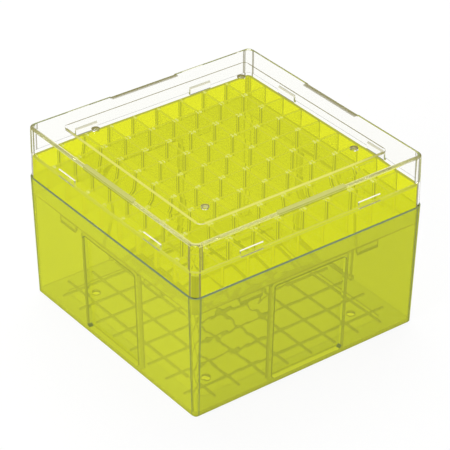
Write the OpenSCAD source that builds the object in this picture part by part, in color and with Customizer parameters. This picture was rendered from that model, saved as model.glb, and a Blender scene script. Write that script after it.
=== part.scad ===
// Cryogenic storage box: a square base, a lift-out grid insert with 81 places, and a clear lid.
// Millimetres, +Z up. The origin is the middle of the base's underside.

/* [Box] */
// Outer width of the base at its rim, the same both ways
box_w = 133; // [105:0.5:180]
// Height of the closed box, from the base's foot to the top of the lid's panel
box_h = 93.8; // [80:0.1:120]
// Outside radius of the base's upright corners at the rim
corner_r = 4.5; // [3.5:0.1:12]
// Tube places along each side
places = 9; // [4:1:12]
// Clearance between the insert and the base, and between the insert and the lid
fit_gap = 0.2; // [0.1:0.05:0.5]

/* [Base] */
// Height of the base's rim, where the lid stands
rim_h = 65.8; // [50:0.1:78]
// Thickness of the base's walls
base_wall = 1.6; // [1.2:0.1:2.4]
// Thickness of the floor
floor_t = 1.6; // [1:0.1:3]
// Depth of the hollow under the floor, which takes the lid panel of a box below
foot_h = 0.9; // [0.7:0.1:2]
// How far each wall leans in from the rim to the foot
base_draft = 1.9; // [0.5:0.1:2.2]
// Size of the bevel round the foot
foot_bevel = 0.8; // [0.3:0.1:1.5]
// Width of the grip hollow in the middle of each side
grip_w = 41.4; // [20:0.1:60]
// Depth of the grip hollow
grip_d = 2.3; // [1:0.1:4]
// Height of the grip hollow's lower edge
grip_z = 3.2; // [2.5:0.1:15]
// Radius of the grip hollow's corners
grip_r = 1.6; // [0.5:0.1:5]
// Thickness of the shelf over the grip hollow, on which the insert stands
shelf_t = 1.2; // [1:0.1:3]
// Width and height of the ribs that mark the places on the floor
rib_t = 1; // [0.6:0.1:1.4]
// Distance that the floor ribs end before the wall
rib_stop = 4.5; // [3:0.1:12]
// Diameter of the drain holes in the floor
drain_d = 4.6; // [2:0.1:8]
// Distance of the drain holes from the outside of the rim
drain_in = 23.1; // [15:0.1:30]

/* [Lugs] */
// Width of the lugs under the insert and of the stops in the lid
lug_w = 12.4; // [6:0.1:14]
// Height of the lugs and stops
lug_h = 3.9; // [2:0.1:6]
// How far the lugs and stops stand out of their wall
lug_d = 1.3; // [0.8:0.1:1.5]
// Distance of each lug's middle from the middle of its side
lug_place = 33.7; // [30:0.1:40]

/* [Insert] */
// Height of the insert's collar above the rim
collar_h = 11.4; // [6:0.1:14]
// Depth of the insert's skirt below the rim
skirt_h = 9.4; // [5:0.1:20]
// Thickness of the collar and skirt
frame_t = 1.8; // [1.2:0.1:2.5]
// Thickness of the dividers
divider_t = 1.2; // [0.8:0.1:2]
// Height of the dividers
divider_h = 10.7; // [6:0.1:20]
// Length of a number post, across the box
post_l = 3.2; // [2.6:0.1:5]
// Width of a number post, measured from the far face of its divider
post_w = 2.2; // [2:0.1:3.5]
// How far a number post reaches left of its divider line
post_left = 1.2; // [1:0.1:1.3]

/* [Lid] */
// Clearance between the collar and the stops in the lid
stop_gap = 0.4; // [0.3:0.1:1]
// Thickness of the lid's skirt, beside the collar
lid_skirt_t = 1.1; // [0.8:0.05:1.3]
// Thickness of the lid's wall above the collar
lid_wall_t = 1.3; // [1:0.05:1.8]
// Thickness of the lid's top
lid_top_t = 1.5; // [1:0.1:2.5]
// How far each lid wall leans in from the rim to the top
lid_draft = 0.3; // [0:0.05:0.6]
// Radius of the lid's top edge
lid_edge_r = 1.5; // [0.8:0.1:2]
// Inside radius of the lid's corners above the collar
lid_corner_r = 4; // [3:0.1:8]
// Height of the raised panel on the lid
panel_h = 0.6; // [0.2:0.1:1]
// Distance of the raised panel from the outside of the lid
panel_in = 12.4; // [8:0.1:20]
// Radius of the raised panel's corners
panel_r = 2.5; // [1:0.1:8]
// Length of the finger flat in the middle of each top edge
flat_w = 38.4; // [20:0.1:60]
// Depth of the finger flat into the top, and down the side
flat_in = 2.5; // [1:0.1:2.6]
// Height of the finger flat
flat_h = 1.1; // [0.5:0.1:1.2]
// Diameter of the vent holes
vent_d = 4; // [2:0.1:6]
// Distance of the vent holes from the outside of the lid
vent_in = 23.4; // [18:0.1:30]

/* [Hidden] */

plastic = [0.80, 0.83, 0.16, 0.8];
clear = [0.93, 0.93, 0.90, 0.35];
over = 1;                                  // how far a cutter runs past what it cuts
round_fn = 48;
arc_steps = 4;                             // straight steps of a bead round an edge

span = box_w / 2 - corner_r;               // corner centre lines, shared by all three mouldings
lean = base_draft / rim_h;                 // slope of the base's walls
foot_z = foot_h + floor_t;                 // top of the floor

frame_r = corner_r - base_wall - fit_gap;  // outside of the collar, from the corner centre line
frame_half = span + frame_r;
cell_half = frame_half - frame_t;          // inside of the collar
pitch = (2 * cell_half + divider_t) / places;
collar_top = rim_h + collar_h;
skirt_z = rim_h - skirt_h;
divider_z = collar_top - divider_h;
divider_far = divider_t / 2;               // from a divider line to the divider's face
post_right = post_l - post_left;
post_near = post_w - divider_far;

lid_r = frame_r + fit_gap + lid_skirt_t;   // outside of the lid's rim, from the corner centre line
lid_half = span + lid_r;
lid_top = box_h - panel_h;
lid_inner = lid_half - lid_draft - lid_wall_t;
stop_z = collar_top + stop_gap;
step_z = collar_top + 1.6;                 // where the lid's wall thickens
panel_half = lid_half - panel_in;
vent_at = lid_half - vent_in;
drain_at = box_w / 2 - drain_in;

grip_top = skirt_z - shelf_t;
rib_half = span + corner_r - base_draft - base_wall - rib_stop;

// Distance of a base wall's outside from the corner centre line at height z
function wall_r(z) = corner_r - lean * (rim_h - z);

// Points of a quarter round from angle a0 to a1, about a centre
function arc(cx, cz, r, a0, a1) =
    [for (i = [0:arc_steps]) let (a = a0 + (a1 - a0) * i / arc_steps) [cx + r * cos(a), cz + r * sin(a)]];

function lowest(profile) = min([for (p = profile) p[1]]);
function highest(profile) = max([for (p = profile) p[1]]);

// Middle of divider line i, counted from 0 at the left or front wall
function line_at(i) = (i - places / 2) * pitch;

// A closed ring with round corners: the profile is turned round each corner and drawn along each side.
// Its x is the distance outwards from the corner centre lines, which lie at s from the middle.
module ring(profile, s = span) {
    for (q = [0:3]) rotate([0, 0, 90 * q]) {
        translate([s, s, 0]) rotate_extrude(angle = 90, $fn = round_fn) polygon(profile);
        translate([-s, s, 0]) rotate([90, 0, 90]) linear_extrude(2 * s) polygon(profile);
    }
}

// A solid block with round corners, from a profile that starts and ends at x = 0
module block(profile, s = span) {
    ring(profile, s);
    translate([-s, -s, lowest(profile)])
        cube([2 * s, 2 * s, highest(profile) - lowest(profile)]);
}

// The square of the lid's raised panel, or of the hollow under the base that takes it
module panel_block(r, h) {
    block([[0, 0], [r, 0], [r, h], [0, h]], panel_half - panel_r);
}

// A rectangle with round corners, standing on the x axis and centred on it
module rounded(w, h, r) {
    translate([-w / 2 + r, 0]) square([w - 2 * r, h]);
    translate([-w / 2, r]) square([w, h - 2 * r]);
    for (x = [-w / 2 + r, w / 2 - r], y = [r, h - r]) translate([x, y]) circle(r, $fn = 24);
}

// A plug behind the drafted wall on the -Y side: all that lies outside the wall moved in by depth
module behind_wall(depth) {
    low = span + wall_r(0) - depth;
    high = span + wall_r(rim_h) - depth;
    rotate([90, 0, 90]) linear_extrude(box_w, center = true)
        polygon([[-low, 0], [-high, rim_h], [-box_w, rim_h], [-box_w, 0]]);
}

// The hollow or boss of one grip: an outline on the -Y side, cut off at a depth into the wall
module grip(w, z0, z1, r, depth) {
    intersection() {
        translate([0, 0, z0]) rotate([90, 0, 0]) linear_extrude(box_w) rounded(w, z1 - z0, r);
        behind_wall(depth);
    }
}

module base_outside() {
    block([
        [0, 0], [wall_r(0) - foot_bevel, 0], [wall_r(foot_bevel), foot_bevel],
        [wall_r(rim_h), rim_h], [0, rim_h]
    ]);
}

module base_cavity() {
    difference() {
        block([
            [0, foot_z], [wall_r(foot_z) - base_wall, foot_z],
            [wall_r(rim_h) - base_wall + lean * over, rim_h + over], [0, rim_h + over]
        ]);
        for (q = [0:3]) rotate([0, 0, 90 * q])
            grip(grip_w + 2 * base_wall, 0, skirt_z, grip_r, grip_d + base_wall);
    }
}

module floor_ribs() {
    for (i = [1:places - 1], turn = [0, 90]) rotate([0, 0, turn])
        translate([line_at(i) - rib_t / 2, -rib_half, foot_z - rib_t / 2])
            cube([rib_t, 2 * rib_half, 1.5 * rib_t]);
}

// The four drain or vent positions
module at_corners(d) {
    for (x = [-d, d], y = [-d, d]) translate([x, y, 0]) children();
}

// Eight places on the four sides, two a side
module at_lugs() {
    for (q = [0:3], x = [-lug_place, lug_place]) rotate([0, 0, 90 * q]) translate([x, 0, 0]) children();
}

// A ledge on the base's wall that carries the insert's skirt, with a sloping underside
module base_lug() {
    root = span + wall_r(skirt_z - lug_h) - base_wall;
    tip = span + frame_r - lean * skirt_h - lug_d;
    rotate([90, 0, 90]) linear_extrude(lug_w, center = true) polygon([
        [-root - base_wall / 2, skirt_z - lug_h], [-root, skirt_z - lug_h],
        [-tip, skirt_z - lug_h + lug_d], [-tip, skirt_z], [-root - base_wall / 2, skirt_z]
    ]);
}

module base() {
    color(plastic) difference() {
        union() {
            difference() {
                base_outside();
                base_cavity();
                for (q = [0:3]) rotate([0, 0, 90 * q])
                    grip(grip_w, grip_z, grip_top, grip_r, grip_d);
            }
            floor_ribs();
            at_lugs() base_lug();
        }
        translate([0, 0, -over]) panel_block(panel_r + fit_gap, foot_h + over);
        at_corners(drain_at) cylinder(d = drain_d, h = foot_z + over, $fn = round_fn);
    }
}

// Collar and skirt of the insert in one wall: upright above the rim, leaning with the base below it
module insert_frame() {
    low = frame_r - lean * skirt_h;
    bevel = frame_t / 4;
    color(plastic) difference() {
        block([
            [0, skirt_z], [low, skirt_z], [frame_r, rim_h],
            [frame_r, collar_top - bevel], [frame_r - bevel, collar_top], [0, collar_top]
        ]);
        translate([-cell_half, -cell_half, skirt_z - over])
            cube([2 * cell_half, 2 * cell_half, skirt_h + collar_h + 2 * over]);
    }
}

// Dividers between the number posts, and between the outer posts and the frame, both ways
module insert_dividers() {
    color(plastic) for (line = [1:places - 1], i = [0:places - 1]) {
        right = i == places - 1 ? cell_half : line_at(i + 1) - post_left;
        front = i == 0 ? -cell_half : line_at(i) + divider_far;
        translate([line_at(i) + post_right, line_at(line) - divider_far, divider_z])
            cube([right - line_at(i) - post_right, divider_t, divider_h]);
        translate([line_at(line) - divider_far, front, divider_z])
            cube([divider_t, line_at(i + 1) - post_near - front, divider_h]);
    }
}

// One post for each place's number, where the dividers cross at the far left corner of the place.
// Those of the left column and of the far row stand on the frame's wall.
module number_posts() {
    color(plastic) for (i = [0:places - 1], j = [1:places]) {
        left = max(line_at(i) - post_left, -cell_half);
        far = min(line_at(j) + divider_far, cell_half);
        translate([left, line_at(j) - post_near, divider_z])
            cube([line_at(i) + post_right - left, far - line_at(j) + post_near, divider_h]);
    }
}

// A stop inside the lid's wall, just over the collar
module lid_stop() {
    root = frame_half + fit_gap;
    rotate([90, 0, 90]) linear_extrude(lug_w, center = true) polygon([
        [-root - lid_skirt_t / 2, stop_z], [-root + lug_d, stop_z],
        [-root + lug_d, stop_z + lug_h - lug_d / 2], [-root + lug_d / 2, stop_z + lug_h],
        [-root - lid_skirt_t / 2, stop_z + lug_h]
    ]);
}

module lid_outside() {
    block(concat(
        [[0, rim_h], [lid_r, rim_h]],
        arc(lid_r - lid_draft - lid_edge_r, lid_top - lid_edge_r, lid_edge_r, 0, 90),
        [[0, lid_top]]
    ));
}

// Below the step the cavity fits round the collar; above it the wall is thicker and its corners rounder
module lid_cavity() {
    block([[0, rim_h - over], [frame_r + fit_gap, rim_h - over], [frame_r + fit_gap, step_z], [0, step_z]]);
    block([
        [0, step_z - over], [lid_corner_r, step_z - over],
        [lid_corner_r, lid_top - lid_top_t], [0, lid_top - lid_top_t]
    ], lid_inner - lid_corner_r);
}

// A sloping flat across the middle of the top edge on the -Y side
module finger_flat() {
    edge = lid_half - lid_draft;
    translate([0, 0, lid_top]) rotate([90, 0, 90]) linear_extrude(flat_w, center = true)
        polygon([[-edge + flat_in, 0], [-edge - over, -flat_h * (flat_in + over) / flat_in],
                 [-edge - over, over], [-edge + flat_in, over]]);
}

module lid() {
    color(clear) difference() {
        union() {
            difference() {
                lid_outside();
                lid_cavity();
            }
            translate([0, 0, lid_top - lid_top_t / 2]) panel_block(panel_r, lid_top_t / 2 + panel_h);
            at_lugs() lid_stop();
        }
        for (q = [0:3]) rotate([0, 0, 90 * q]) finger_flat();
        at_corners(vent_at) translate([0, 0, lid_top - lid_top_t - over])
            cylinder(d = vent_d, h = lid_top_t + panel_h + 2 * over, $fn = round_fn);
    }
}

base();
insert_frame();
insert_dividers();
number_posts();
lid();
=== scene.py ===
"""Looks of the cryogenic storage box: base and grid insert of tinted polycarbonate, and a clear lid."""

import math

import bpy
from mathutils import Matrix, Vector


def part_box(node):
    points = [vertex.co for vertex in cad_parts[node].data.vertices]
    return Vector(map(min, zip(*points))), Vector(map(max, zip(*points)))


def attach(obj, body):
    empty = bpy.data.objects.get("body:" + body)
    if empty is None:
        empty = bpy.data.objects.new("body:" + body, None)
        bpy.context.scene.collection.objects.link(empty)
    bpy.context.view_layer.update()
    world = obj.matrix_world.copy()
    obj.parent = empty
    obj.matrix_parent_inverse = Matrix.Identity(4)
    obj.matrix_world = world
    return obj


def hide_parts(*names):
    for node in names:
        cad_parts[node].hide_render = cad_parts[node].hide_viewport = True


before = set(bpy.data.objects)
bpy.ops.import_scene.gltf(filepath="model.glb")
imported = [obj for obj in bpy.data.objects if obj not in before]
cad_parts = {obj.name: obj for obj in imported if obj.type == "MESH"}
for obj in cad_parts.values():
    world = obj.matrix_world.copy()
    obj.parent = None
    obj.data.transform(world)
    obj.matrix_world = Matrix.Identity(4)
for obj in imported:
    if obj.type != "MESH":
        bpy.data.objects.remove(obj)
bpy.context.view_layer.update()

MM = 0.001

# Places of the insert, as the frame has them
PLACES = 9
DIVIDER_T = 1.2 * MM
POST_MIDDLE = (0.4 * MM, -0.5 * MM)

# Raised numbers on the posts: the root goes down into the post, so that no gap shows
DIGIT_H = 2.1 * MM
DIGIT_RAISE = 0.2 * MM
DIGIT_ROOT = 0.3 * MM
DIGIT_SPACING = 1.1

# Moulded edges are never sharp
EDGE_R = 0.25 * MM
EDGE_STEPS = 2
EDGE_ANGLE = math.radians(35)
SMOOTH_BELOW = math.radians(22)
FLAT_BELOW = math.radians(0.1)
QUAD_SKEW = math.radians(60)
WELD = 0.002 * MM
# Decimals of a metre that a corner keeps, which is 1 micrometre
CORNER_DECIMALS = 6

# Optics of moulded polycarbonate. Light crosses dozens of faces in the grid, so it needs many bounces
PC_IOR = 1.585
BOUNCES = 128

# Length of a flow mark
FLOW_MARK = 10.5 * MM

# Size of a patch of scuffs, the reach of noise over which they grow, and how rough they are at most
SCUFF_PATCH = 20 * MM
SCUFFED = (0.5, 0.75)
SCUFF_ROUGHNESS = 0.03

# The wavier part of one wall: it fades in over these distances from the middle, on Y and on X
RIPPLE_WALL = (-58 * MM, -62 * MM)
RIPPLE_HALF = (-6 * MM, -24 * MM)

# A face is part of the outer skin if it looks outwards at these distances from the middle
OUTER_SKIN = (50 * MM, 60 * MM)

# The +X and +Y sides get other painted edge colours and shares, mostly painted shade where the other sides
# get painted highlight, and the change is over these sums of X and Y
FAR_SIDES = (-20 * MM, 0.0)

# How tilted a face has to be to get a level edge's painted line: sine by cosine of its angle, at most 0.5
EDGE_TILT = (0.15, 0.4)

# Level edges get a third painted colour at these heights, from the rim of the base to the step in the lid
STEP_AT = 70 * MM
STEP_BY = 10.5 * MM

# The low upright step round the panel of the lid, which gets a painted line too: over this height, at this
# distance from the middle
TOP_AT = 91 * MM
PANEL_AT = 53.6 * MM
PANEL_BY = 1.5 * MM
UPRIGHT_BELOW = 0.5

# Floor and backdrop: how much of its white the floor shows by itself, and the world's fall to the ceiling
FLOOR_SIZE = 6
FLOOR_DROP = 0.1 * MM
FLOOR_GLOW = 0.92
CEILING = 0.25
BACKDROP_TOP = (math.sin(math.radians(6)), math.sin(math.radians(20)))

# Camera
TARGET = Vector((0, 0, 48 * MM))
CAMERA_FAR = 1068.73 * MM
AZIMUTH = math.radians(37.27)
ELEVATION = math.radians(32.26)
ROLL = math.radians(0.37)
LENS = 180.83
SHIFT = (0.0035, -0.0069)


def linear(colour):
    """An sRGB hex colour, such as "#cdd62e", as linear RGBA."""
    parts = [int(colour[i:i + 2], 16) / 255 for i in (1, 3, 5)]
    return [c / 12.92 if c <= 0.04045 else ((c + 0.055) / 1.055) ** 2.4 for c in parts] + [1]


def add_node(tree, kind, inputs=None, **settings):
    """Adds a shader node. Each input is a value to set on it, or a socket or node to link to it."""
    node = tree.nodes.new(kind)
    for name, value in settings.items():
        setattr(node, name, value)
    for name, value in (inputs or {}).items():
        if isinstance(value, bpy.types.Node):
            value = value.outputs[0]
        if isinstance(value, bpy.types.NodeSocket):
            tree.links.new(value, node.inputs[name])
        else:
            node.inputs[name].default_value = value
    return node


def new_material(name):
    material = bpy.data.materials.new(name)
    material.use_nodes = True
    material.node_tree.nodes.clear()
    return material


def select_only(obj):
    bpy.ops.object.select_all(action="DESELECT")
    obj.select_set(True)
    bpy.context.view_layer.objects.active = obj


def apply_modifier(obj, kind, **settings):
    select_only(obj)
    modifier = obj.modifiers.new(kind.lower(), kind)
    for name, value in settings.items():
        setattr(modifier, name, value)
    bpy.ops.object.modifier_apply(modifier=modifier.name)


# Materials

def survey(tree):
    """What tells where a point of the skin is, in metres, and which way it faces."""
    coordinates = add_node(tree, "ShaderNodeTexCoord")
    where = add_node(tree, "ShaderNodeSeparateXYZ", {0: coordinates.outputs["Object"]})
    turned = add_node(tree, "ShaderNodeSeparateXYZ", {0: coordinates.outputs["Normal"]})
    at = {"place": coordinates.outputs["Object"]}
    for axis in "XYZ":
        at[axis] = where.outputs[axis]
        at["facing " + axis] = turned.outputs[axis]
    from_x = add_node(tree, "ShaderNodeMath", {0: at["X"]}, operation="ABSOLUTE")
    from_y = add_node(tree, "ShaderNodeMath", {0: at["Y"]}, operation="ABSOLUTE")
    # On a side of the box, the greater of the two is how far out the point is, and the other how far along
    at["out"] = add_node(tree, "ShaderNodeMath", {0: from_x, 1: from_y}, operation="MAXIMUM")
    at["along"] = add_node(tree, "ShaderNodeMath", {0: from_x, 1: from_y}, operation="MINIMUM")
    diagonal = add_node(tree, "ShaderNodeMath", {0: at["X"], 1: at["Y"]}, operation="ADD")
    at["far"] = add_node(tree, "ShaderNodeMapRange",
                         {"Value": diagonal, "From Min": FAR_SIDES[0], "From Max": FAR_SIDES[1]})
    return at


def flow_marks(tree, at, wave, ripple):
    """The low waves that the melt leaves in a wall, as a normal."""
    flow = add_node(tree, "ShaderNodeTexNoise",
                    {"Vector": at["place"], "Scale": round(1 / FLOW_MARK), "Detail": 1.0})
    height = wave
    if ripple:
        # One wall left the mould wavier than the rest, over the half by one corner
        wall = add_node(tree, "ShaderNodeMapRange",
                        {"Value": at["Y"], "From Min": RIPPLE_WALL[0], "From Max": RIPPLE_WALL[1]})
        half = add_node(tree, "ShaderNodeMapRange",
                        {"Value": at["X"], "From Min": RIPPLE_HALF[0], "From Max": RIPPLE_HALF[1]})
        both = add_node(tree, "ShaderNodeMath", {0: wall, 1: half}, operation="MULTIPLY")
        height = add_node(tree, "ShaderNodeMath", {0: both, 1: ripple, 2: wave}, operation="MULTIPLY_ADD")
    bump = add_node(tree, "ShaderNodeBump",
                    {"Height": flow.outputs["Fac"], "Strength": 1.0, "Distance": height})
    return bump.outputs["Normal"]


def polished(tree, at, normal, tint, mirror, gleam):
    """A polished face: it bends the light that passes, and mirrors most at a glancing angle."""
    # Handling marks soften the gloss a little
    scuff = add_node(tree, "ShaderNodeTexNoise",
                     {"Vector": at["place"], "Scale": round(1 / SCUFF_PATCH), "Detail": 6.0,
                      "Roughness": 0.7})
    rough = add_node(tree, "ShaderNodeMapRange",
                     {"Value": scuff.outputs["Fac"], "From Min": SCUFFED[0], "From Max": SCUFFED[1],
                      "To Max": SCUFF_ROUGHNESS})
    bend = add_node(tree, "ShaderNodeBsdfRefraction",
                    {"Color": linear(tint), "IOR": PC_IOR, "Roughness": 0.0, "Normal": normal})
    gloss = add_node(tree, "ShaderNodeBsdfGlossy",
                     {"Color": linear(mirror), "Roughness": rough, "Normal": normal})
    glancing = add_node(tree, "ShaderNodeFresnel", {"IOR": PC_IOR, "Normal": normal})
    mirrored = add_node(tree, "ShaderNodeMath", {0: glancing, 1: gleam}, operation="POWER")
    return add_node(tree, "ShaderNodeMixShader", {0: mirrored, 1: bend, 2: gloss})


def hazed(tree, at, skin, colour, share):
    """A trace of scatter on the outer skin, which takes the light of the room."""
    outward = add_node(tree, "ShaderNodeMath", {0: at["X"], 1: at["facing X"]}, operation="MULTIPLY")
    outward = add_node(tree, "ShaderNodeMath", {0: at["Y"], 1: at["facing Y"], 2: outward},
                       operation="MULTIPLY_ADD")
    amount = add_node(tree, "ShaderNodeMapRange",
                      {"Value": outward, "From Min": OUTER_SKIN[0], "From Max": OUTER_SKIN[1],
                       "To Max": share})
    behind = add_node(tree, "ShaderNodeNewGeometry").outputs["Backfacing"]
    outer = add_node(tree, "ShaderNodeMath", {0: amount, 1: behind}, operation="SUBTRACT")
    outer = add_node(tree, "ShaderNodeMath", {0: outer, 1: 0.0}, operation="MAXIMUM")
    scatter = add_node(tree, "ShaderNodeBsdfDiffuse", {"Color": linear(colour)})
    return add_node(tree, "ShaderNodeMixShader", {0: outer, 1: skin, 2: scatter})


def toned(tree, skin, share, colour):
    """The skin with a glow of one colour laid over it by share: painted highlight or shade on the mouldings,
    and the floor's own even white.
    """
    tone = add_node(tree, "ShaderNodeEmission", {"Color": linear(colour), "Strength": 1.0})
    return add_node(tree, "ShaderNodeMixShader", {0: share, 1: skin, 2: tone})


def upright_edges(tree, at, skin, colour, share, turn, spread):
    """Paints a glowing line of shade, or of pale highlight, on the upright edges where X by Y of their
    facing is within spread of turn.
    """
    across = add_node(tree, "ShaderNodeMath", {0: at["facing X"], 1: at["facing Y"]}, operation="MULTIPLY")
    across = add_node(tree, "ShaderNodeMath", {0: across}, operation="ABSOLUTE")
    line = add_node(tree, "ShaderNodeMath", {0: across, 1: turn, 2: spread}, operation="COMPARE")
    line = add_node(tree, "ShaderNodeMath", {0: line, 1: share}, operation="MULTIPLY")
    return toned(tree, skin, line, colour)


def rounding(tree, at, lines):
    """How far into a level edge's rounding a point is, as a mask for its painted line. lines make it two
    painted lines on the near sides.
    """
    # Sine by cosine of a face's angle: nothing on a flat or upright face, and 0.5 halfway round an edge
    cosine = at["facing Z"]
    sine = add_node(tree, "ShaderNodeMath", {0: cosine, 1: cosine}, operation="MULTIPLY")
    sine = add_node(tree, "ShaderNodeMath", {0: sine, 1: -1.0, 2: 1.0}, operation="MULTIPLY_ADD")
    sine = add_node(tree, "ShaderNodeMath", {0: sine}, operation="SQRT")
    tilt = add_node(tree, "ShaderNodeMath", {0: sine, 1: cosine}, operation="MULTIPLY")
    tilt = add_node(tree, "ShaderNodeMath", {0: tilt}, operation="ABSOLUTE")
    band = add_node(tree, "ShaderNodeMapRange",
                    {"Value": tilt, "From Min": EDGE_TILT[0], "From Max": EDGE_TILT[1]})
    if lines:
        # The two painted lines are where the rounding meets the wall and the top
        line = add_node(tree, "ShaderNodeMath", {0: tilt, 1: lines[0], 2: lines[1]}, operation="COMPARE")
        between = add_node(tree, "ShaderNodeMath", {0: band, 1: line}, operation="SUBTRACT")
        band = add_node(tree, "ShaderNodeMath", {0: at["far"], 1: between, 2: line},
                        operation="MULTIPLY_ADD")
    return band


def panel_step(tree, at):
    """Whether a point is on the low upright step round the panel, which gets a painted line of highlight or
    shade too.
    """
    by_panel = add_node(tree, "ShaderNodeMath", {0: at["out"], 1: PANEL_AT, 2: PANEL_BY},
                        operation="COMPARE")
    on_top = add_node(tree, "ShaderNodeMath", {0: at["Z"], 1: TOP_AT}, operation="GREATER_THAN")
    panel = add_node(tree, "ShaderNodeMath", {0: by_panel, 1: on_top}, operation="MULTIPLY")
    upright = add_node(tree, "ShaderNodeMath", {0: at["facing Z"], 1: 0.0, 2: UPRIGHT_BELOW},
                       operation="COMPARE")
    return add_node(tree, "ShaderNodeMath", {0: panel, 1: upright}, operation="MULTIPLY")


def level_edges(tree, at, skin, colours, shares, lines):
    """Paints glowing lines of highlight and shade on the level edges. colours are for the near sides, the
    far ones and the heights round the step.
    """
    low_down = add_node(tree, "ShaderNodeMath", {0: at["Z"], 1: STEP_AT - STEP_BY}, operation="LESS_THAN")
    second = add_node(tree, "ShaderNodeMath", {0: at["far"], 1: low_down}, operation="MAXIMUM")
    tone = add_node(tree, "ShaderNodeMix", {0: second, 6: linear(colours[0]), 7: linear(colours[1])},
                    data_type="RGBA")
    stepped = add_node(tree, "ShaderNodeMath", {0: at["Z"], 1: STEP_AT, 2: STEP_BY}, operation="COMPARE")
    tone = add_node(tree, "ShaderNodeMix", {0: stepped, 6: tone.outputs[2], 7: linear(colours[2])},
                    data_type="RGBA")
    # The painted glow of the edge lines: highlight on some sides and heights, shade on others
    rim = add_node(tree, "ShaderNodeEmission", {"Color": tone.outputs[2], "Strength": 1.0})
    edge = add_node(tree, "ShaderNodeMath", {0: panel_step(tree, at), 1: rounding(tree, at, lines)},
                    operation="MAXIMUM")
    share = add_node(tree, "ShaderNodeMapRange",
                     {"Value": at["far"], "To Min": shares[0], "To Max": shares[1]})
    edge = add_node(tree, "ShaderNodeMath", {0: edge, 1: share}, operation="MULTIPLY")
    return add_node(tree, "ShaderNodeMixShader", {0: edge, 1: skin, 2: rim})


def marked(tree, at, skin, height, thick, out, along, colour, shares):
    """Paints a glowing band of highlight or shade round the box, all in mm: shares are for the near sides
    and the far ones.
    """
    mark = add_node(tree, "ShaderNodeMath", {0: at["Z"], 1: height * MM, 2: 0.5 * MM * thick},
                    operation="COMPARE")
    for value, limits in ((at["out"], out), (at["along"], along)):
        above = add_node(tree, "ShaderNodeMath", {0: value, 1: limits[0] * MM}, operation="GREATER_THAN")
        below = add_node(tree, "ShaderNodeMath", {0: value, 1: limits[1] * MM}, operation="LESS_THAN")
        mark = add_node(tree, "ShaderNodeMath", {0: mark, 1: above}, operation="MULTIPLY")
        mark = add_node(tree, "ShaderNodeMath", {0: mark, 1: below}, operation="MULTIPLY")
    share = add_node(tree, "ShaderNodeMapRange",
                     {"Value": at["far"], "To Min": shares[0], "To Max": shares[1]})
    mark = add_node(tree, "ShaderNodeMath", {0: mark, 1: share}, operation="MULTIPLY")
    return toned(tree, skin, mark, colour)


def dyed_inside(tree, absorbs, glow_colour):
    """The dye in the plastic absorbs light per metre, and a painted glow of the colour shines stands in for
    the light that a deep layer of it gives back.
    """
    # A little denser than it need be, so that no colour of it is black
    density = 1.1 * max(absorbs)
    dye = add_node(tree, "ShaderNodeVolumeAbsorption",
                   {"Color": [1 - a / density for a in absorbs] + [1], "Density": density})
    painted_glow = [a * s for a, s in zip(absorbs, linear(glow_colour))]
    # A painted glow: the plastic gives out this colour whatever light falls on it
    light = add_node(tree, "ShaderNodeEmission",
                     {"Color": [g / max(painted_glow) for g in painted_glow] + [1], "Strength": max(painted_glow)})
    return add_node(tree, "ShaderNodeAddShader", {0: dye, 1: light})


def moulded_polycarbonate(name, tint, mirror, gleam, absorbs, glow_colour, upright, level, wave,
                          haze=None, ripple=0, lines=None, marks=()):
    """Polished see-through moulding. Its rounded edges carry painted lines of highlight and shade, in place
    of the light that runs inside its walls.

    tint is what each face passes, and mirror what it reflects. A higher gleam keeps that to a
    glancing angle. absorbs is what the plastic takes per metre, and shines the colour of a painted
    glow that stands in for the light a deep layer of dye gives back. upright is the painted line of
    shade or highlight on its upright edges: a colour, a share, and where on the turn their line is,
    with its spread. level is that of its level ones: three colours, and two shares. wave is the
    height of its flow marks, and ripple that of one wavy wall. haze is the colour and share of the
    light that its outer skin scatters. lines says where on a wide rounding its two painted lines
    are, with their spread. marks are bands of painted highlight and shade.
    """
    material = new_material(name)
    tree = material.node_tree
    at = survey(tree)
    skin = polished(tree, at, flow_marks(tree, at, wave, ripple), tint, mirror, gleam)
    if haze:
        skin = hazed(tree, at, skin, *haze)
    skin = upright_edges(tree, at, skin, *upright)
    skin = level_edges(tree, at, skin, *level, lines)
    for mark in marks:
        skin = marked(tree, at, skin, *mark)
    add_node(tree, "ShaderNodeOutputMaterial",
             {"Surface": skin, "Volume": dyed_inside(tree, absorbs, glow_colour)})
    return material


# Mouldings

def copy_of(nodes, name):
    """One new object with the meshes of these CAD nodes, welded."""
    copies = []
    for node in nodes:
        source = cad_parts[node]
        copy = bpy.data.objects.new(name, source.data.copy())
        bpy.context.scene.collection.objects.link(copy)
        copies.append(copy)
    bpy.ops.object.select_all(action="DESELECT")
    for copy in copies:
        copy.select_set(True)
    bpy.context.view_layer.objects.active = copies[0]
    if len(copies) > 1:
        bpy.ops.object.join()
    moulding = bpy.context.view_layer.objects.active
    moulding.name = name
    moulding.data.name = name
    moulding.data.materials.clear()
    bpy.ops.object.mode_set(mode="EDIT")
    bpy.ops.mesh.select_all(action="SELECT")
    bpy.ops.mesh.remove_doubles(threshold=WELD)
    bpy.ops.object.mode_set(mode="OBJECT")
    # Corners that two mouldings share get the same numbers, so that the union finds them
    for vertex in moulding.data.vertices:
        vertex.co = [round(c, CORNER_DECIMALS) for c in vertex.co]
    return moulding


def fuse(target, other):
    """Joins two touching mouldings into one closed skin."""
    apply_modifier(target, "BOOLEAN", operation="UNION", solver="EXACT", use_self=True, object=other)
    bpy.data.objects.remove(other)


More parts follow.
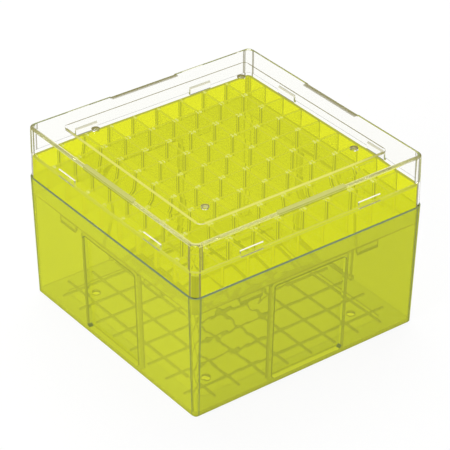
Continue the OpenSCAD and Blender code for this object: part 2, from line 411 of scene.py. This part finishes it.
def even_out(moulding):
    """Clears the lines that cross flat faces, so that the bevel meets only compact faces."""
    select_only(moulding)
    bpy.ops.object.mode_set(mode="EDIT")
    bpy.ops.mesh.select_all(action="SELECT")
    bpy.ops.mesh.dissolve_limited(angle_limit=FLAT_BELOW)
    bpy.ops.mesh.quads_convert_to_tris(quad_method="BEAUTY", ngon_method="BEAUTY")
    bpy.ops.mesh.tris_convert_to_quads(face_threshold=2 * FLAT_BELOW, shape_threshold=QUAD_SKEW)
    bpy.ops.object.mode_set(mode="OBJECT")


def finish_moulding(moulding, material, body, nodes):
    """Rounds the sharp edges where there is room, smooths the curves and seats the moulding on its body."""
    even_out(moulding)
    apply_modifier(moulding, "BEVEL", width=EDGE_R, segments=EDGE_STEPS, limit_method="ANGLE",
                   angle_limit=EDGE_ANGLE, miter_outer="MITER_ARC")
    select_only(moulding)
    bpy.ops.object.shade_smooth_by_angle(angle=SMOOTH_BELOW)
    apply_modifier(moulding, "WEIGHTED_NORMAL", keep_sharp=True, weight=100)
    moulding.data.materials.append(material)
    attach(moulding, body)
    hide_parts(*nodes)


def number_mesh(value, size):
    """A raised number, its thickness centred on z = 0, as one closed mesh."""
    bpy.ops.object.select_all(action="DESELECT")
    bpy.ops.object.text_add(location=(0, 0, 0))
    text = bpy.context.object
    text.data.body = str(value)
    text.data.size = size
    text.data.align_x = "CENTER"
    text.data.align_y = "CENTER"
    text.data.space_character = DIGIT_SPACING
    text.data.resolution_u = 2
    text.data.extrude = (DIGIT_RAISE + DIGIT_ROOT) / 2
    bpy.ops.object.convert(target="MESH")
    return bpy.context.object


def digit_size():
    """The text size at which a digit is as high as it should be."""
    trial = number_mesh(1, DIGIT_H)
    size = DIGIT_H * DIGIT_H / trial.dimensions.y
    bpy.data.objects.remove(trial)
    return size


def make_numbers(material):
    """The place numbers 1 to 81, row by row from the rear, on the top of each number post."""
    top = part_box("insert_frame")[1][2]
    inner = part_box("insert_dividers")
    pitch = (inner[1][0] - inner[0][0] + DIVIDER_T) / PLACES
    size = digit_size()
    digits = []
    for value in range(1, PLACES * PLACES + 1):
        row, column = divmod(value - 1, PLACES)
        number = number_mesh(value, size)
        number.location = ((column - PLACES / 2) * pitch + POST_MIDDLE[0],
                           (PLACES / 2 - row) * pitch + POST_MIDDLE[1],
                           top + (DIGIT_RAISE - DIGIT_ROOT) / 2)
        select_only(number)
        bpy.ops.object.transform_apply(location=True, rotation=True, scale=True)
        digits.append(number)
    bpy.ops.object.select_all(action="DESELECT")
    for number in digits:
        number.select_set(True)
    bpy.context.view_layer.objects.active = digits[0]
    bpy.ops.object.join()
    numbers = bpy.context.view_layer.objects.active
    numbers.name = "place_numbers"
    bpy.ops.object.mode_set(mode="EDIT")
    bpy.ops.mesh.select_all(action="SELECT")
    bpy.ops.mesh.remove_doubles(threshold=WELD)
    bpy.ops.mesh.normals_make_consistent(inside=False)
    bpy.ops.object.mode_set(mode="OBJECT")
    numbers.data.materials.clear()
    numbers.data.materials.append(material)
    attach(numbers, "insert")


# Stage

def make_floor():
    """White paper that shows its own white to what looks at it, and keeps the object's shadow."""
    bpy.ops.object.select_all(action="DESELECT")
    bpy.ops.mesh.primitive_plane_add(size=FLOOR_SIZE, location=(0, 0, -FLOOR_DROP))
    floor = bpy.context.object
    floor.name = "floor"
    material = new_material("white_paper")
    tree = material.node_tree
    paper = add_node(tree, "ShaderNodeBsdfDiffuse", {"Color": linear("#ffffff")})
    path = add_node(tree, "ShaderNodeLightPath")
    seen = add_node(tree, "ShaderNodeMath",
                    {0: path.outputs["Is Camera Ray"], 1: path.outputs["Is Glossy Ray"]},
                    operation="MAXIMUM")
    seen = add_node(tree, "ShaderNodeMath", {0: seen, 1: path.outputs["Is Transmission Ray"]},
                    operation="MAXIMUM")
    seen = add_node(tree, "ShaderNodeMath", {0: seen, 1: FLOOR_GLOW}, operation="MULTIPLY")
    add_node(tree, "ShaderNodeOutputMaterial", {"Surface": toned(tree, paper, seen, "#ffffff")})
    floor.data.materials.append(material)


def make_light(name, location, size, power):
    bpy.ops.object.light_add(type="AREA", location=location)
    light = bpy.context.object
    light.name = name
    light.data.size = size
    light.data.energy = power
    light.rotation_euler = (TARGET - Vector(location)).to_track_quat("-Z", "Y").to_euler()


def make_world():
    """A white backdrop round the horizon under a dim ceiling."""
    world = bpy.data.worlds.new("studio")
    bpy.context.scene.world = world
    world.use_nodes = True
    tree = world.node_tree
    background = tree.nodes["Background"]
    background.inputs["Color"].default_value = linear("#ffffff")
    way = add_node(tree, "ShaderNodeTexCoord")
    rise = add_node(tree, "ShaderNodeSeparateXYZ", {0: way.outputs["Generated"]})
    level = add_node(tree, "ShaderNodeMapRange",
                     {"Value": rise.outputs["Z"], "From Min": BACKDROP_TOP[0], "From Max": BACKDROP_TOP[1],
                      "To Min": 1.0, "To Max": CEILING})
    tree.links.new(level.outputs[0], background.inputs["Strength"])


def make_camera():
    bpy.ops.object.camera_add()
    camera = bpy.context.object
    turn = (Matrix.Rotation(-AZIMUTH, 3, "Z") @ Matrix.Rotation(math.pi / 2 - ELEVATION, 3, "X")
            @ Matrix.Rotation(ROLL, 3, "Z"))
    camera.rotation_euler = turn.to_euler()
    back = turn @ Vector((0, 0, 1))
    camera.location = TARGET + CAMERA_FAR * back
    camera.data.lens = LENS
    camera.data.shift_x, camera.data.shift_y = SHIFT
    bpy.context.scene.camera = camera


# Injection-moulded polycarbonate with a fluorescent yellow-green dye: even walls, a painted glow for the
# dye's colour, and painted olive shade lines on edges, ribs and rim.
# Each mark is a band of painted highlight or shade: height, thickness, how far out, how far along, colour,
# near and far share
wall_plastic = moulded_polycarbonate(
    "tinted_polycarbonate", tint="#fcfdc0", mirror="#bcbf98", gleam=1.5,
    absorbs=(330, 310, 2400), glow_colour="#b1b752",
    upright=("#66745c", 0.6, 0.13, 0.09),
    level=(("#717d3c", "#717d3c", "#7a8a74"), (0.9, 0.9)),
    wave=0.015 * MM, haze=("#c8cc10", 0.2), ripple=0.4 * MM,
    marks=[
        # Painted shade lines on the tops of the floor ribs
        (3.4, 1, (-1, 61.5), (-1, 70), "#737f40", (0.4, 0.4)),
        # Painted shade line on the rim, stronger on the near sides
        (65.8, 0.5, (65.1, 70), (-1, 70), "#6f8474", (0.85, 0.4)),
    ])
# The same plastic in the thinner insert: its dividers all but melt into one colour of painted glow, and its
# posts and edges carry painted lines of shade and highlight
grid_plastic = moulded_polycarbonate(
    "tinted_polycarbonate_grid", tint="#fcfdc0", mirror="#fafaf4", gleam=2.8,
    absorbs=(400, 380, 2500), glow_colour="#d6d932",
    upright=("#929a2e", 0.55, 0.35, 0.15),
    level=(("#7c8642", "#7c8642", "#d2d84a"), (0.6, 0.6)),
    wave=0.002 * MM,
    marks=[
        # Painted shade line on the lower edge of the skirt
        (56.6, 0.5, (60, 70), (-1, 70), "#78823c", (0.6, 0.3)),
        # Painted shade line on the top of the collar, on the far sides only
        (77.2, 0.4, (62.4, 70), (-1, 70), "#8a8650", (0.0, 0.45)),
    ])
# Raised number faces are left matt by the mould and painted with a pale glow, so they look paler than the
# polished post under them
number_plastic = moulded_polycarbonate(
    "tinted_polycarbonate_matt", tint="#fcfdc0", mirror="#f4f4e0", gleam=1.5,
    absorbs=(3000, 3000, 4000), glow_colour="#e8ec98",
    upright=("#e8ec98", 0.5, 0.35, 0.15),
    level=(("#e8ec98", "#e8ec98", "#e8ec98"), (0.5, 0.5)),
    wave=0.005 * MM, haze=("#e0e484", 0.6))
# Injection-moulded clear polycarbonate: nearly colourless in its walls, with painted edges, cream highlight
# on the near sides and khaki shade on the far ones
clear_plastic = moulded_polycarbonate(
    "clear_polycarbonate", tint="#ffffff", mirror="#ffffff", gleam=2.5,
    absorbs=(14, 14, 20), glow_colour="#d0d084",
    upright=("#86805a", 0.7, 0.13, 0.09),
    level=(("#f6f4ac", "#7d7644", "#d6da5c"), (0.62, 0.95)),
    wave=0.005 * MM, lines=(0.2, 0.12),
    marks=[
        # Finger flats: painted khaki shade on the far sides, painted olive shade on the near ones
        (92.5, 3, (62.2, 70), (-1, 19.3), "#8a8350", (0.0, 0.55)),
        (92.5, 3, (63.3, 70), (-1, 19.3), "#a8ac3e", (0.45, 0.0)),
        # Edge of the panel: painted khaki shade on the far sides, painted pale highlight on the near ones
        (93.5, 1, (53, 54.3), (-1, 51), "#8a8350", (0.0, 0.8)),
        (93.5, 1, (53.1, 54.1), (-1, 51), "#e4e46c", (0.85, 0.0)),
        # Painted khaki shade ring on the upper edge of the vents
        (93.45, 0.6, (40.4, 44.8), (40.4, 44.8), "#8a8250", (0.8, 0.9)),
        # Painted white highlight on the tops of the stops
        (81.2, 1.3, (62.5, 64.3), (27.4, 40), "#fffdec", (1.0, 0.6)),
        # Painted yellow glow on the step round the wall, on the near sides, which dims its highlight
        (78.8, 0.5, (60, 70), (-1, 70), "#d0d44c", (0.85, 0.0)),
    ])

finish_moulding(copy_of(["base"], "box_base"), wall_plastic, "base", ["base"])
finish_moulding(copy_of(["lid"], "box_lid"), clear_plastic, "lid", ["lid"])
insert = copy_of(["insert_frame"], "grid_insert")
fuse(insert, copy_of(["insert_dividers"], "insert_grid"))
fuse(insert, copy_of(["number_posts"], "insert_posts"))
finish_moulding(insert, grid_plastic, "insert", ["insert_frame", "insert_dividers", "number_posts"])
make_numbers(number_plastic)

make_floor()
make_world()
make_light("softbox", (0.45, 0.72, 1.6), 1.5, 26)
make_light("key", (-1.6, -0.2, 0.6), 0.8, 22)
make_camera()
scene = bpy.context.scene
scene.view_settings.view_transform = "Standard"
scene.cycles.max_bounces = BOUNCES
scene.cycles.transmission_bounces = BOUNCES
scene.cycles.glossy_bounces = BOUNCES
